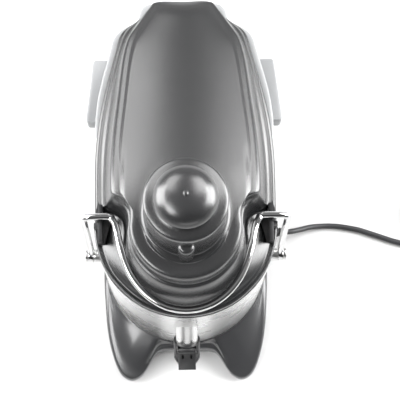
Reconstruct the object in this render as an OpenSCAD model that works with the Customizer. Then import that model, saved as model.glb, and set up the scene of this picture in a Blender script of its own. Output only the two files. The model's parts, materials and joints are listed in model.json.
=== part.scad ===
/* [Bowl and housing] */
// Outside radius of the steel housing and bowl
body_r = 101.5; // [96:0.5:108]
// Steel sheet thickness
sheet = 1.5; // [1:0.1:2]
// Height of the top of the moulded foot
foot_top = 40; // [34:1:50]
// Height of the steel motor housing above the foot
housing_h = 155; // [140:1:180]
// Height of the juice bowl
bowl_h = 118; // [110:1:130]

/* [Foot] */
// Half width of the foot at its widest
foot_half_w = 106.5; // [105.5:0.5:110]
// How far the two front lobes reach in front of the bowl axis
lobe_reach = 148; // [142:1:155]
// Distance of the bottom of the front recess from the bowl axis
recess_reach = 110.8; // [108:0.2:114]
// Half width of the front recess at its bottom
recess_half_w = 34; // [31:1:37]
// How far the foot reaches behind the bowl axis
foot_rear = 98; // [92:1:100]
// Height of the upright edge of the foot
skirt_h = 16; // [12:1:22]
// Wall thickness of the foot
foot_wall = 3.5; // [2.5:0.5:5]
// Radius of the rubber feet
rubber_r = 11; // [8:0.5:14]
// Height that the rubber feet stand proud of the foot
rubber_h = 4; // [3:0.5:6]

/* [Lid] */
// Wall thickness of the lid and hood
lid_wall = 3; // [2.5:0.1:4]
// Height of the lid rim
lid_rim_h = 10; // [8:0.5:12]
// Height of the hood top beside the feed tube, above the lid plate
hood_h = 66; // [56:1:76]
// Half width of the hood top at its front
hood_half_w = 81; // [78:1:84]
// How far the hood reaches behind the bowl axis
hood_reach = 262; // [250:1:266]
// Fall of the hood top for each millimetre towards the rear
hood_slope = 0.25; // [0.15:0.01:0.3]
// Outside radius of the feed tube
tube_r = 43.5; // [40:0.5:46]
// Wall thickness of the feed tube
tube_wall = 4; // [3:0.5:5]
// Height of the feed tube above the hood top
tube_stand = 78; // [60:1:90]

/* [Pusher] */
// Radius of the round pusher knob
knob_r = 32.8; // [28:0.2:34]
// Height of the pusher knob above its collar
knob_h = 30; // [26:1:36]
// Running clearance of the pusher in the feed tube
pusher_gap = 1; // [0.5:0.1:1.5]

/* [Bail] */
// Wire diameter of the locking bail
wire_d = 8; // [6:0.5:9]
// Clearance between the bowl and the inside of the bail's legs
bail_side_gap = 7.5; // [7:0.1:9]
// Radius of the bail's top bars about the pivot
bail_bar_r = 108; // [107:0.5:110]
// Pivot pin radius
pivot_r = 4; // [3:0.1:5]

/* [Spout] */
// Outside radius of the spout tube
spout_r = 13; // [11:0.5:14]
// Outside radius of the nozzle
nozzle_r = 15.5; // [14.5:0.5:17]
// Height of the nozzle
nozzle_h = 38; // [32:1:42]
// Distance of the nozzle axis from the bowl axis
nozzle_reach = 128.5; // [126:0.5:132]

/* [Pulp bin] */
// Height of the pulp bin
bin_h = 296; // [280:1:298]
// Wall thickness of the pulp bin
bin_wall = 2.5; // [2:0.1:3.5]
// Gap between the bin and the foot, the housing and the hood
bin_gap = 3; // [2:0.5:5]
// Depth of the pulp bin from front to rear
bin_depth = 148; // [140:1:155]
// Half width of the pulp bin at its front
bin_half_w = 102; // [99:0.5:104]

/* [Drive] */
// Shaft radius
shaft_r = 7; // [5:0.5:9]
// Running clearance of the shaft in its bearings
shaft_gap = 0.05; // [0.02:0.01:0.1]
// Radius of the filter basket at its rim
basket_r = 90; // [80:1:93]
// Radius of the basket at its floor
basket_floor_r = 70; // [60:1:75]
// Radius of the motor case
motor_r = 66; // [60:1:75]

/* [Switches] */
// Radius of the push buttons
button_r = 8; // [7:0.5:9]
// Travel of the push buttons
button_travel = 3; // [2:0.5:4]

/* [Cord] */
// Diameter of the mains cord
cord_d = 7; // [6:0.5:8]
// Radius of the coil at the middle of its turns
coil_r = 40; // [36:1:42]

/* [Hidden] */
$fn = 72;

// Heights
housing_top = foot_top + housing_h;
bowl_floor = housing_top;
bowl_top = bowl_floor + bowl_h;
gasket_h = 2;
lid_base = bowl_top + gasket_h;
plate_top = lid_base + lid_rim_h + 2;
hood_top = plate_top + hood_h;
tube_top = hood_top + tube_stand;
collar_h = 5;
collar_top = tube_top + collar_h;

// Hood: the top outline lies inside the lower one, and its rear end is a tongue
flange_h = 5;
flange_base = bin_h + bin_gap;
hood_front = 26;
flange_half_w = body_r + 0.5;
tongue_half_w = 36;
head_r = 60;
head_y = -9;
head_base_r = 65;
head_base_y = -24;
step_drop = 19;
head_step_r = 63;
head_step_y = -12;
shoulder_r = 11;
tube_bottom_gap = 4;

// Bail: its pivots sit on the bowl, and the top bars stand over the fins
pivot_y = -19;
pivot_z = bowl_top - 73;
bail_x = body_r + bail_side_gap + wire_d / 2;
eye_x = body_r + bail_side_gap - 2.1;
bar_angle = 76;
bar_y = pivot_y + bail_bar_r * cos(bar_angle);
bar_z = pivot_z + bail_bar_r * sin(bar_angle);
eye_r = 8;
eye_w = 6;
bail_bend = 11;
fin_t = 5;
fin_x = 94;
fin_gap = 0.4;
gusset_w = 11;
gusset_h = 10;
bail_front_z = plate_top + 16;
bail_route = [[84, bar_y, bar_z], [80, bar_y - 4, bar_z + 0.4], [76, bar_y - 13, bar_z],
    [72, -24, bail_front_z + 3], [66, -45, bail_front_z + 2], [57, -63, bail_front_z + 1],
    [42, -80, bail_front_z], [22, -92, bail_front_z], [0, -96, bail_front_z]];

// Spout
elbow_z = bowl_floor - 18;
nozzle_base = elbow_z - nozzle_h + nozzle_r;
nozzle_wall = 3;
nozzle_collar = 22;
spout_wall = 1.5;
notch_gap = 0.8;
spout_short = 10;
spout_in_y = -92;
spout_in_z = bowl_floor + 18.5;
spout_out_z = elbow_z;
spout_run = nozzle_reach + spout_in_y;
spout_drop = spout_in_z - spout_out_z;
spout_len = norm([spout_run, spout_drop]);
spout_tilt = atan2(spout_run, spout_drop);
flap_w = 20.5;
flap_t = 3;
flap_pin_r = 1.6;
flap_pin_gap = 0.1;
flap_gap = 0.4;
flap_pin_up = nozzle_r + flap_gap + flap_t / 2;
flap_pin_along = spout_len - nozzle_collar + 3;
flap_end = spout_len + 9;
flap_reach = (flap_end * spout_run + (nozzle_r + flap_gap + flap_t) * spout_drop) / spout_len - spout_in_y;

// The bowl axis stands behind the front of the box, so that the origin is at the middle of the base
bin_front = body_r + bin_gap;
bin_lip_reach = 15;
ear_reach = 15;
ear_len = 76;
ear_h = 30;
front_reach = max(lobe_reach, flap_reach);
lobe_tip_r = 168;
rear_reach = bin_front + bin_depth + bin_lip_reach;
axis_y = (front_reach - rear_reach) / 2;

// Drive
basket_t = 1.2;
basket_floor = bowl_floor + 44;
basket_top = bowl_top - 8;
disc_t = 4;
hub_r = 20;
chimney_r = 24;
chimney_top = basket_floor - 10;
shaft_base = foot_top + 26;
nut_h = 10;
nut_top = basket_floor + basket_t + disc_t + nut_h;
bearing_r = 17;
bearing_h = 10;
motor_base = foot_top + 24;
cap_t = 6;
motor_top = housing_top - cap_t;
tube_base = nut_top + tube_bottom_gap;

// Pusher
plunger_r = tube_r - tube_wall - pusher_gap;
plunger_wall = 3;
plunger_base = tube_base + 26;
key_r = 8.5;
key_groove_r = 4.5;
key_rib_r = 3;
knob_shoulder = 12;

// Switches
switch_y = 4;
switch_z = foot_top + 42;
switch_pitch = 26;
switch_plate_h = 58;
switch_plate_w = 32;
switch_plate_t = 2.5;
switch_face_x = body_r + switch_plate_t;
button_proud = 4;
button_gap = 0.4;

// Cord: points of its route beside the bowl axis, from the gland to the coil
gland_len = 30;
gland_x = foot_half_w - 4.5;
gland_y = 44;
gland_z = 22;
cord_r = cord_d / 2;
cord_start = [gland_x + gland_len, gland_y, gland_z];
cord_points = [cord_start, cord_start + [3, 0, 0], [142, 45.2, 20.5], [153, 48.5, 14], [166, 52.4, 8.5],
    [178, 54, 5], [190, 54.6, 3.5], [203.5, 53.9, 3.5], [217, 51.8, 3.5], [231, 48.8, 3.5],
    [246, 43.9, 3.5], [262, 38.2, 3.5], [277, 33, 3.5], [293, 28.8, 3.5], [310, 26, 3.5], [328, 25, 3.5],
    [342, 25, 3.5]];
coil_turns_wide = 3;
coil_turns_high = 2;
coil_x = 350;
coil_y = 25 + coil_r + cord_d;
plug_y = coil_y + 38;
tail_x = coil_x + coil_r + cord_d;
tail_points = [[tail_x, coil_y, 10.5], [tail_x, coil_y + 12, 10.5], [tail_x, coil_y + 22, 10.8],
    [tail_x, coil_y + 31, 11.7], [tail_x, plug_y - 3, 12], [tail_x, plug_y, 12]];

// Everything is drawn about the bowl axis and then moved to the frame
module on_axis() {
    translate([0, axis_y, 0]) children();
}

module both_sides() {
    children();
    mirror([1, 0, 0]) children();
}

// A round tube of outside radius r_out from z0 to z1
module pipe(r_out, r_in, z0, z1) {
    translate([0, 0, z0]) difference() {
        cylinder(r = r_out, h = z1 - z0);
        translate([0, 0, -1]) cylinder(r = r_in, h = z1 - z0 + 2);
    }
}

module disc(r, z0, z1) {
    translate([0, 0, z0]) cylinder(r = r, h = z1 - z0);
}

// A tube of radius r swept along points, with each ring square to the route there
function heading(pts, i) =
    let (a = pts[max(i - 1, 0)], b = pts[min(i + 1, len(pts) - 1)], d = b - a) d / norm(d);
function across(d) = let (s = cross([0, 0, 1], d)) s / norm(s);
module swept(pts, r, sides) {
    rings = [for (i = [0:len(pts) - 1])
        let (d = heading(pts, i), s = across(d), u = cross(d, s))
        for (k = [0:sides - 1]) pts[i] + r * (cos(360 * k / sides) * s + sin(360 * k / sides) * u)];
    walls = [for (i = [0:len(pts) - 2]) for (k = [0:sides - 1])
        [i * sides + k, i * sides + (k + 1) % sides, (i + 1) * sides + (k + 1) % sides,
         (i + 1) * sides + k]];
    polyhedron(points = rings, faces = concat([for (w = walls) [w[3], w[2], w[1], w[0]]],
        [[for (k = [0:sides - 1]) k]], [[for (k = [sides - 1:-1:0]) (len(pts) - 1) * sides + k]]));
}

// A closed outline from its right half, listed from front to rear
module both_halves(half) {
    polygon(concat(half, [for (i = [len(half) - 1:-1:0]) [-half[i][0], half[i][1]]]));
}

// Foot
module foot_outline() {
    offset(r = -10) offset(delta = 10) offset(r = 14) offset(delta = -14) both_halves([
        [recess_half_w - 10, -recess_reach], [recess_half_w, -recess_reach],
        [recess_half_w + 15, -recess_reach - 18], [recess_half_w + 29, -lobe_reach],
        [recess_half_w + 48, -lobe_reach], [foot_half_w - 17, -lobe_reach + 17],
        [foot_half_w - 8, -recess_reach], [foot_half_w - 4, -84], [foot_half_w - 1, -44],
        [foot_half_w, -10], [foot_half_w - 3, foot_rear]]);
}

// The foot's top is a shallow cone that falls from the steel housing to the tips of the lobes
module foot_form(inset) {
    cone_fall = (foot_top - rubber_h) / (foot_top - skirt_h);
    intersection() {
        translate([0, 0, rubber_h - inset]) linear_extrude(foot_top) offset(delta = -inset) foot_outline();
        translate([0, 0, rubber_h - inset])
            cylinder(r1 = body_r + 1 + (lobe_tip_r - body_r - 1) * cone_fall, r2 = body_r + 1,
                h = foot_top - rubber_h);
    }
}

module foot_shell() {
    color("#3a3a3c") on_axis() difference() {
        foot_form(0);
        foot_form(foot_wall);
        disc(body_r - 10, 0, foot_top + 1);
    }
}

module bottom_plate() {
    color("#8a8c8e") on_axis() translate([0, 0, rubber_h]) linear_extrude(sheet)
        offset(delta = -foot_wall - 0.5) foot_outline();
}

module at_feet() {
    for (x = [-1, 1] * (foot_half_w - 32.5), y = [-lobe_reach + 34, foot_rear - 30])
        translate([x, y, 0]) children();
}

module rubber_feet() {
    color("#161616") on_axis() at_feet() rotate_extrude()
        polygon([[0, 0], [rubber_r - 1.5, 0], [rubber_r, 1.5], [rubber_r - 1, rubber_h], [0, rubber_h]]);
}

module plate_screws() {
    color("silver") on_axis() for (x = [-48, 48], y = [-60, 60])
        translate([x, y, rubber_h - 1.5]) cylinder(r = 3.5, h = 1.5);
}

// Housing and drive
module motor_housing() {
    color("silver") on_axis() difference() {
        pipe(body_r, body_r - sheet, foot_top, housing_top);
        for (s = [-1, 1]) translate([body_r - 20, switch_y, switch_z + s * switch_pitch / 2])
            rotate([0, 90, 0]) cylinder(r = button_r + button_gap, h = 40);
        spout_notch();
    }
}

module housing_cap() {
    color("#9a9c9e") on_axis() difference() {
        pipe(body_r - sheet, bearing_r + 2, housing_top - cap_t, housing_top);
        spout_notch();
    }
}

module motor_case() {
    color("#6c6e70") on_axis() difference() {
        disc(motor_r, motor_base, motor_top);
        disc(motor_r - 4, motor_base + 14, motor_top - 14);
        disc(shaft_r + 1.5, motor_base - 1, motor_top + 1);
        disc(bearing_r, motor_base + 14 - bearing_h, motor_base + 15);
        disc(bearing_r, motor_top - 15, motor_top - 14 + bearing_h);
    }
}

module motor_stator() {
    color("#b06a3a") on_axis() pipe(motor_r - 4, 36, motor_base + 24, motor_top - 24);
}

module bearing(z0) {
    color("silver") on_axis() pipe(bearing_r, shaft_r + shaft_gap, z0, z0 + bearing_h);
}

module lower_bearing() {
    bearing(motor_base + 14 - bearing_h);
}

module upper_bearing() {
    bearing(motor_top - 14);
}

module shaft_seal() {
    color("#202020") on_axis() union() {
        pipe(bearing_r + 2, shaft_r + shaft_gap + 0.5, motor_top + 0.5, housing_top);
    }
}

module drive_shaft() {
    color("silver") on_axis() union() {
        disc(shaft_r, shaft_base - 4, basket_floor - 4);
        disc(shaft_r - 2, basket_floor - 5, nut_top - 2);
    }
}

module rotor_core() {
    color("#707274") on_axis() pipe(34, shaft_r, motor_base + 26, motor_top - 26);
}

module drive_hub() {
    color("#b8babc") on_axis() difference() {
        union() {
            disc(hub_r, basket_floor - 12, basket_floor);
            disc(12, basket_floor - 26, basket_floor - 12);
        }
        disc(shaft_r, basket_floor - 40, basket_floor - 4);
        disc(shaft_r - 2, basket_floor - 5, basket_floor + 1);
    }
}

module filter_basket() {
    color("silver") on_axis() rotate_extrude() polygon([[shaft_r - 2, basket_floor],
        [basket_floor_r, basket_floor], [basket_r, basket_top - 2], [basket_r + 2, basket_top],
        [basket_r - 3, basket_top], [basket_r - basket_t, basket_top - 2],
        [basket_floor_r - basket_t, basket_floor + basket_t], [shaft_r - 2, basket_floor + basket_t]]);
}

module grating_disc() {
    color("silver") on_axis() rotate_extrude() polygon([[shaft_r - 2, basket_floor + basket_t],
        [basket_floor_r - 4, basket_floor + basket_t],
        [basket_floor_r - 4, basket_floor + basket_t + disc_t - 2],
        [basket_floor_r - 8, basket_floor + basket_t + disc_t],
        [shaft_r - 2, basket_floor + basket_t + disc_t]]);
}

module clamp_nut() {
    color("silver") on_axis() rotate_extrude() polygon([[shaft_r - 2, nut_top - nut_h],
        [14, nut_top - nut_h], [14, nut_top - 4], [9, nut_top], [0, nut_top], [0, nut_top - 2],
        [shaft_r - 2, nut_top - 2]]);
}

// Switches
module switch_plate() {
    color("#2c2c2e") on_axis() difference() {
        translate([body_r - 4, switch_y - switch_plate_w / 2, switch_z - switch_plate_h / 2])
            cube([switch_plate_t + 4, switch_plate_w, switch_plate_h]);
        translate([0, 0, foot_top]) cylinder(r = body_r, h = housing_h, $fn = 240);
        for (s = [-1, 1]) translate([body_r - 20, switch_y, switch_z + s * switch_pitch / 2])
            rotate([0, 90, 0]) cylinder(r = button_r + button_gap, h = 40);
    }
}

module push_button(side) {
    on_axis() translate([body_r - 8, switch_y, switch_z + side * switch_pitch / 2]) rotate([0, 90, 0])
        rotate_extrude() polygon([[0, 0], [button_r, 0],
            [button_r, 8 + switch_plate_t + button_proud - 1.5],
            [button_r - 1.5, 8 + switch_plate_t + button_proud],
            [0, 8 + switch_plate_t + button_proud]]);
}

module start_button() {
    color("#2f8a4a") push_button(1);
}

module stop_button() {
    color("#b02a26") push_button(-1);
}

// Bowl and spout
module spout_line() {
    translate([0, spout_in_y, spout_in_z]) rotate([180 - spout_tilt, 0, 0]) children();
}

// The housing's top edge is cut out around the spout
module spout_notch() {
    spout_line() cylinder(r = spout_r + notch_gap, h = spout_len);
}

module juice_bowl() {
    color("silver") on_axis() difference() {
        rotate_extrude() polygon([[chimney_r - 3, bowl_floor], [body_r, bowl_floor], [body_r, bowl_top],
            [body_r - 3, bowl_top], [body_r - sheet, bowl_top - 3], [body_r - sheet, bowl_floor + 4],
            [body_r - 4, bowl_floor + sheet], [chimney_r, bowl_floor + sheet],
            [chimney_r, chimney_top], [chimney_r - 3, chimney_top]]);
        spout_line() translate([0, 0, -10]) cylinder(r = spout_r, h = 60);
        for (s = [-1, 1]) translate([s * (body_r - 8), pivot_y, pivot_z]) rotate([0, s * 90, 0])
            cylinder(r = pivot_r, h = 20);
    }
}

module spout_tube() {
    color("silver") on_axis() difference() {
        spout_line() cylinder(r = spout_r, h = spout_len - spout_short);
        spout_line() translate([0, 0, -1]) cylinder(r = spout_r - spout_wall, h = spout_len + 9);
        disc(body_r - sheet - 0.5, bowl_floor + 2, bowl_top);
    }
}

module along_flap_pin(r, length) {
    spout_line() translate([-length / 2, flap_pin_up, flap_pin_along]) rotate([0, 90, 0])
        cylinder(r = r, h = length);
}

module spout_nozzle() {
    color("#141414") on_axis() difference() {
        union() {
            spout_line() translate([0, 0, spout_len - nozzle_collar])
                cylinder(r = nozzle_r, h = nozzle_collar + 4);
            translate([0, -nozzle_reach, nozzle_base]) cylinder(r = nozzle_r - 0.6, h = nozzle_h - 8);
            for (s = [-1, 1]) spout_line()
                translate([s * (flap_w / 2 + 1.8) - 1.3, nozzle_r - 7, flap_pin_along - 3])
                    cube([2.6, 12, 6]);
        }
        translate([0, -nozzle_reach, nozzle_base - 1])
            cylinder(r = nozzle_r - nozzle_wall, h = elbow_z - nozzle_base + 1);
        spout_line() cylinder(r = spout_r, h = spout_len - spout_short);
        spout_line() cylinder(r = spout_r - spout_wall, h = spout_len - 1);
        along_flap_pin(flap_pin_r, 3 * flap_w);
        along_flap_pin(flap_pin_r + 1 + flap_gap, flap_w + 2 * flap_gap);
    }
}

module flap_pin() {
    color("#909294") on_axis() along_flap_pin(flap_pin_r, flap_w + 6);
}

module drip_flap() {
    color("#101010") on_axis() difference() {
        union() {
            spout_line() translate([-flap_w / 2, nozzle_r + flap_gap, flap_pin_along])
                cube([flap_w, flap_t, flap_end - flap_pin_along]);
            along_flap_pin(flap_pin_r + 1, flap_w);
        }
        along_flap_pin(flap_pin_r + flap_pin_gap, 2 * flap_w);
        for (s = [-1, 1]) spout_line() translate([s * 5 - 1.2, nozzle_r - 1, flap_pin_along + 5])
            cube([2.4, 8, 6]);
    }
}

module bowl_gasket() {
    color("#2a2a2a") on_axis() pipe(body_r, body_r - 3, bowl_top, lid_base);
}

// Bail
module bail_boss(side) {
    on_axis() translate([0, pivot_y, pivot_z]) rotate([0, side * 90, 0]) union() {
        translate([0, 0, body_r - 3]) cylinder(r = pivot_r, h = eye_x + eye_w + 5 - body_r);
        difference() {
            translate([0, 0, body_r - 6]) cylinder(r = eye_r, h = eye_x + 5.6 - body_r);
            rotate([0, -side * 90, 0]) translate([0, -pivot_y, -60]) cylinder(r = body_r, h = 120);
        }
        translate([0, 0, eye_x + eye_w + 0.6]) cylinder(r = pivot_r + 3, h = 2.5);
    }
}

module bail_boss_left() {
    color("silver") bail_boss(-1);
}

module bail_boss_right() {
    color("silver") bail_boss(1);
}

function bail_half() = concat([
    [bail_x - 4, pivot_y + 2, pivot_z + 8], [bail_x - 3.5, pivot_y + 8, pivot_z + 35],
    [bail_x - 2, bar_y - 8, bar_z - 30], [bail_x - 0.5, bar_y - 2, bar_z - bail_bend],
    [bail_x - 1.5, bar_y - 0.5, bar_z - 4], [bail_x - 5, bar_y, bar_z - 1], [bail_x - 11, bar_y, bar_z]],
    bail_route);
function mirrored(pts) = [for (i = [len(pts) - 2:-1:0]) [-pts[i][0], pts[i][1], pts[i][2]]];

// Between two points of the bail the wire follows a smooth curve through their neighbours
function smooth(a, b, c, d, t) = 0.5 * (2 * b + (c - a) * t + (2 * a - 5 * b + 4 * c - d) * t * t
    + (3 * b - a - 3 * c + d) * t * t * t);
function smoothed(p, steps) = [for (i = [0:len(p) - 2]) for (k = [0:steps - 1])
    smooth(p[max(i - 1, 0)], p[i], p[i + 1], p[min(i + 2, len(p) - 1)], k / steps), p[len(p) - 1]];

module wire_sweep(pts, r, sides) {
    path = [for (i = [0:len(pts) - 1]) heading(pts, i)];
    frames = bail_frames(pts, path, 0, [cross(path[0], [0, 1, 0]) / norm(cross(path[0], [0, 1, 0]))]);
    ring = [for (i = [0:len(pts) - 1]) for (k = [0:sides - 1])
        let (s = frames[i], u = cross(path[i], s))
        pts[i] + r * (cos(360 * k / sides) * s + sin(360 * k / sides) * u)];
    walls = [for (i = [0:len(pts) - 2]) for (k = [0:sides - 1])
        [(i + 1) * sides + k, (i + 1) * sides + (k + 1) % sides, i * sides + (k + 1) % sides,
         i * sides + k]];
    polyhedron(points = ring, faces = concat(walls, [[for (k = [0:sides - 1]) k]],
        [[for (k = [sides - 1:-1:0]) (len(pts) - 1) * sides + k]]));
}
function bail_frames(pts, path, i, found) = i == len(pts) - 1 ? found
    : let (s = found[i] - path[i + 1] * (found[i] * path[i + 1])) bail_frames(pts, path, i + 1,
        concat(found, [s / norm(s)]));

module bail_wire() {
    half = bail_half();
    color("gainsboro") on_axis() wire_sweep(smoothed(concat(half, mirrored(half)), 3), wire_d / 2, 12);
}

module bail_eyes() {
    color("silver") on_axis() both_sides() translate([eye_x, pivot_y, pivot_z]) rotate([0, 90, 0])
        difference() {
            cylinder(r = eye_r, h = eye_w);
            translate([0, 0, -1]) cylinder(r = pivot_r + shaft_gap, h = eye_w + 2);
        }
}

// Lid
module flange_outline() {
    both_halves([[flange_half_w, hood_front], [flange_half_w - 0.5, 0.38 * hood_reach],
        [flange_half_w - 7, 0.54 * hood_reach], [flange_half_w - 24, 0.79 * hood_reach],
        [71, hood_reach - 31], [50, hood_reach - 16], [tongue_half_w, hood_reach]]);
}

module hood_outline() {
    both_halves([[hood_half_w, hood_front + 2], [hood_half_w - 1.8, 0.32 * hood_reach],
        [hood_half_w - 6.6, 0.5 * hood_reach], [hood_half_w - 11.5, 0.645 * hood_reach],
        [hood_half_w - 17.3, 0.79 * hood_reach], [51, hood_reach - 34],
        [tongue_half_w, hood_reach - 10], [tongue_half_w - 2, hood_reach - 7]]);
}

// Lays a slab under the falling hood top
module falling(drop) {
    multmatrix([[1, 0, 0, 0], [0, 1, 0, 0], [0, -hood_slope, 1, hood_top + hood_slope * hood_front - drop],
        [0, 0, 0, 1]]) children();
}

module tunnel(inset) {
    hull() {
        translate([0, 0, flange_base + (inset > 0 ? -1 : 0)]) linear_extrude(flange_h)
            offset(delta = -inset - 6) flange_outline();
        falling(inset + 2) linear_extrude(2) offset(r = 3) offset(delta = -inset - 3) hood_outline();
        falling(inset + 9) linear_extrude(2) offset(r = 3) offset(delta = -inset) hood_outline();
    }
}

module head(inset) {
    hull() {
        translate([0, head_base_y, plate_top - 5]) cylinder(r = head_base_r - inset, h = 1);
        translate([0, head_step_y, hood_top - step_drop - 1 - inset])
            cylinder(r = head_step_r - inset, h = 1);
    }
    translate([0, head_y, 0]) disc(head_r - inset, hood_top - step_drop - 4, hood_top - inset);
    shoulders(inset);
}

// Rounds the two inner corners where the round head meets the wide hood
module shoulders(inset) {
    intersection() {
        translate([0, 0, plate_top - 6]) linear_extrude(hood_top - plate_top + 5.6 - inset)
            offset(delta = -inset - 0.6) offset(r = -shoulder_r) offset(delta = shoulder_r) union() {
                translate([0, head_y]) circle(r = head_r);
                hood_outline();
            }
        falling(inset + 0.4) translate([0, hood_reach / 2, -hood_h - 30])
            linear_extrude(hood_h + 30) square([2 * body_r, 2 * hood_reach], center = true);
    }
}

module lid_plate() {
    rotate_extrude() polygon([[0, plate_top - lid_wall], [body_r - 12, plate_top - lid_wall],
        [body_r - 6, lid_base + 3], [body_r - 4, lid_base], [body_r, lid_base],
        [body_r, lid_base + lid_rim_h - 2], [body_r - 1.5, lid_base + lid_rim_h],
        [body_r - 3, lid_base + lid_rim_h - 1], [body_r - 5, lid_base + lid_rim_h - 4],
        [body_r - 8, lid_base + lid_rim_h - 1], [body_r - 11, plate_top], [0, plate_top]]);
}

module lid_hood() {
    color("#4a4b4d") on_axis() difference() {
        union() {
            lid_plate();
            head(0);
            tunnel(0);
            translate([0, 0, flange_base]) linear_extrude(flange_h) flange_outline();
            disc(tube_r, tube_base, tube_top);
            translate([0, -tube_r, 0]) disc(key_r, hood_top - 6, tube_top - 22);
        }
        difference() {
            union() {
                head(lid_wall);
                tunnel(lid_wall);
                translate([0, 60, lid_base + 4]) cylinder(r = 48, h = 20);
            }
            disc(tube_r, tube_base - 2, tube_top);
        }
        disc(body_r + 0.3, 0, lid_base);
        disc(tube_r - tube_wall, tube_base - 1, tube_top + 1);
        translate([0, -tube_r + tube_wall - 1, 0]) disc(key_groove_r, plunger_base, tube_top + 1);
    }
}

module ramp_fin(side) {
    on_axis() scale([side, 1, 1]) difference() {
        union() {
            translate([fin_x - fin_t / 2, pivot_y - 2, plate_top - 4.8]) cube([fin_t, 44, 30]);
            translate([fin_x, 0, plate_top - 2.5]) linear_extrude(gusset_h) polygon([[0, pivot_y - 2],
                [-5, pivot_y - 2], [-gusset_w, 2], [-gusset_w, 6], [0, 10]]);
            translate([fin_x, -4, plate_top - 2.5]) cube([7, 6, gusset_h + 2]);
        }
        translate([fin_x, pivot_y, pivot_z]) rotate([0, 90, 0]) difference() {
            cylinder(r = 200, h = 40, center = true);
            cylinder(r = bail_bar_r - wire_d / 2 - fin_gap, h = 41, center = true);
        }
        lid_plate();
    }
}

module ramp_fin_left() {
    color("#101010") ramp_fin(-1);
}

module ramp_fin_right() {
    color("#101010") ramp_fin(1);
}

// Pusher
module pusher_plunger() {
    color("#3c3c3e") on_axis() union() {
        difference() {
            disc(plunger_r, plunger_base, tube_top);
            disc(plunger_r - plunger_wall, plunger_base + plunger_wall, tube_top + 1);
        }
        translate([0, -plunger_r + 1, 0]) disc(key_rib_r, plunger_base + 4, tube_top);
    }
}

module pusher_knob() {
    color("#343436") on_axis() rotate_extrude() polygon(concat([[0, tube_top], [tube_r - 1.5, tube_top],
        [tube_r, tube_top + 1.5], [tube_r - 0.6, collar_top - 1], [tube_r - 3, collar_top],
        [knob_r - 1, collar_top + 1.5], [knob_r - 3.4, collar_top + 3.5], [knob_r - 3, collar_top + 5.5]],
        [for (a = [-30:10:90]) [knob_r * pow(max(cos(a), 0), 0.8),
            collar_top + knob_shoulder + (knob_h - knob_shoulder) * sin(a) * (a < 0 ? 0.5 : 1)]]));
}

// Pulp bin
module bin_outline() {
    both_halves([[bin_half_w, bin_front], [bin_half_w, bin_front + 22], [bin_half_w - 4.5, bin_front + 58],
        [bin_half_w - 18, bin_front + bin_depth - 30], [bin_half_w - 27, bin_front + bin_depth - 16],
        [52, bin_front + bin_depth - 2], [44, bin_front + bin_depth]]);
}

module bin_form(inset, low, high) {
    hull() {
        translate([0, 0, low]) linear_extrude(1) offset(r = 8) offset(delta = -inset - 16) bin_outline();
        translate([0, 0, high - 1]) linear_extrude(1) offset(r = 8) offset(delta = -inset - 10)
            bin_outline();
    }
}

module pulp_bin() {
    color("#c4c6c8") on_axis() difference() {
        union() {
            bin_form(0, 0, bin_h);
            translate([0, 0, bin_h - 5]) linear_extrude(5) offset(r = 6) offset(delta = -6) bin_outline();
            hull() {
                translate([0, bin_front + bin_depth, bin_h - 3]) linear_extrude(3)
                    both_halves([[50, -6], [46, bin_lip_reach - 2], [38, bin_lip_reach]]);
                translate([0, bin_front + bin_depth - 6, bin_h - 40]) linear_extrude(1)
                    square([60, 2], center = true);
            }
        }
        bin_form(bin_wall, bin_wall, bin_h + 2);
    }
}

module ear_outline(inset) {
    offset(r = 4 - inset / 2) offset(delta = -4 - inset / 2) polygon([[-14, 0], [ear_reach, 0],
        [ear_reach - 9, ear_len], [-14, ear_len]]);
}

module bin_handles() {
    color("#cacccd") on_axis() both_sides() translate([bin_half_w, bin_front + 38, bin_h - 92])
        difference() {
            linear_extrude(ear_h) ear_outline(0);
            translate([0, 0, -1]) linear_extrude(ear_h - 3) ear_outline(3);
            translate([-bin_half_w, -bin_front - 38, 92 - bin_h]) bin_form(0, 0, bin_h);
        }
}

// Cord
module cord_gland() {
    color("#1c1c1c") on_axis() translate([gland_x, gland_y, gland_z]) rotate([0, 90, 0]) union() {
        cylinder(r1 = 8, r2 = 5, h = gland_len);
        cylinder(r = 9.5, h = 6);
    }
}

module cord_run() {
    color("#2a2a2a") on_axis() swept(cord_points, cord_r, 10);
}

module cord_coil() {
    color("#2a2a2a") on_axis() translate([coil_x, coil_y, 0]) difference() {
        cylinder(r = coil_r + coil_turns_wide * cord_r, h = coil_turns_high * cord_d);
        translate([0, 0, -1]) cylinder(r = coil_r - coil_turns_wide * cord_r,
            h = coil_turns_high * cord_d + 2);
    }
}

module cord_tail() {
    color("#2a2a2a") on_axis() swept(tail_points, cord_r, 10);
}

module plug_body() {
    color("#1e1e1e") on_axis() hull() {
        translate([tail_x, plug_y, 12]) rotate([-90, 0, 0]) cylinder(r = 6, h = 1, $fn = 32);
        translate([tail_x, plug_y + 14, 12]) cube([30, 1, 23], center = true);
        translate([tail_x, plug_y + 38, 12]) cube([36, 1, 24], center = true);
    }
}

module plug_pins() {
    color("silver") on_axis() for (s = [-1, 1]) translate([tail_x + s * 9.5, plug_y + 38.5, 12])
        rotate([-90, 0, 0]) cylinder(r = 2.4, h = 19);
}

foot_shell();
bottom_plate();
rubber_feet();
plate_screws();
motor_housing();
housing_cap();
motor_case();
motor_stator();
lower_bearing();
upper_bearing();
shaft_seal();
switch_plate();
start_button();
stop_button();
juice_bowl();
spout_tube();
spout_nozzle();
flap_pin();
drip_flap();
bowl_gasket();
bail_boss_left();
bail_boss_right();
bail_wire();
bail_eyes();
lid_hood();
ramp_fin_left();
ramp_fin_right();
drive_shaft();
rotor_core();
drive_hub();
filter_basket();
grating_disc();
clamp_nut();
pusher_plunger();
pusher_knob();
pulp_bin();
bin_handles();
cord_gland();
cord_run();
cord_coil();
cord_tail();
plug_body();
plug_pins();
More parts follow.
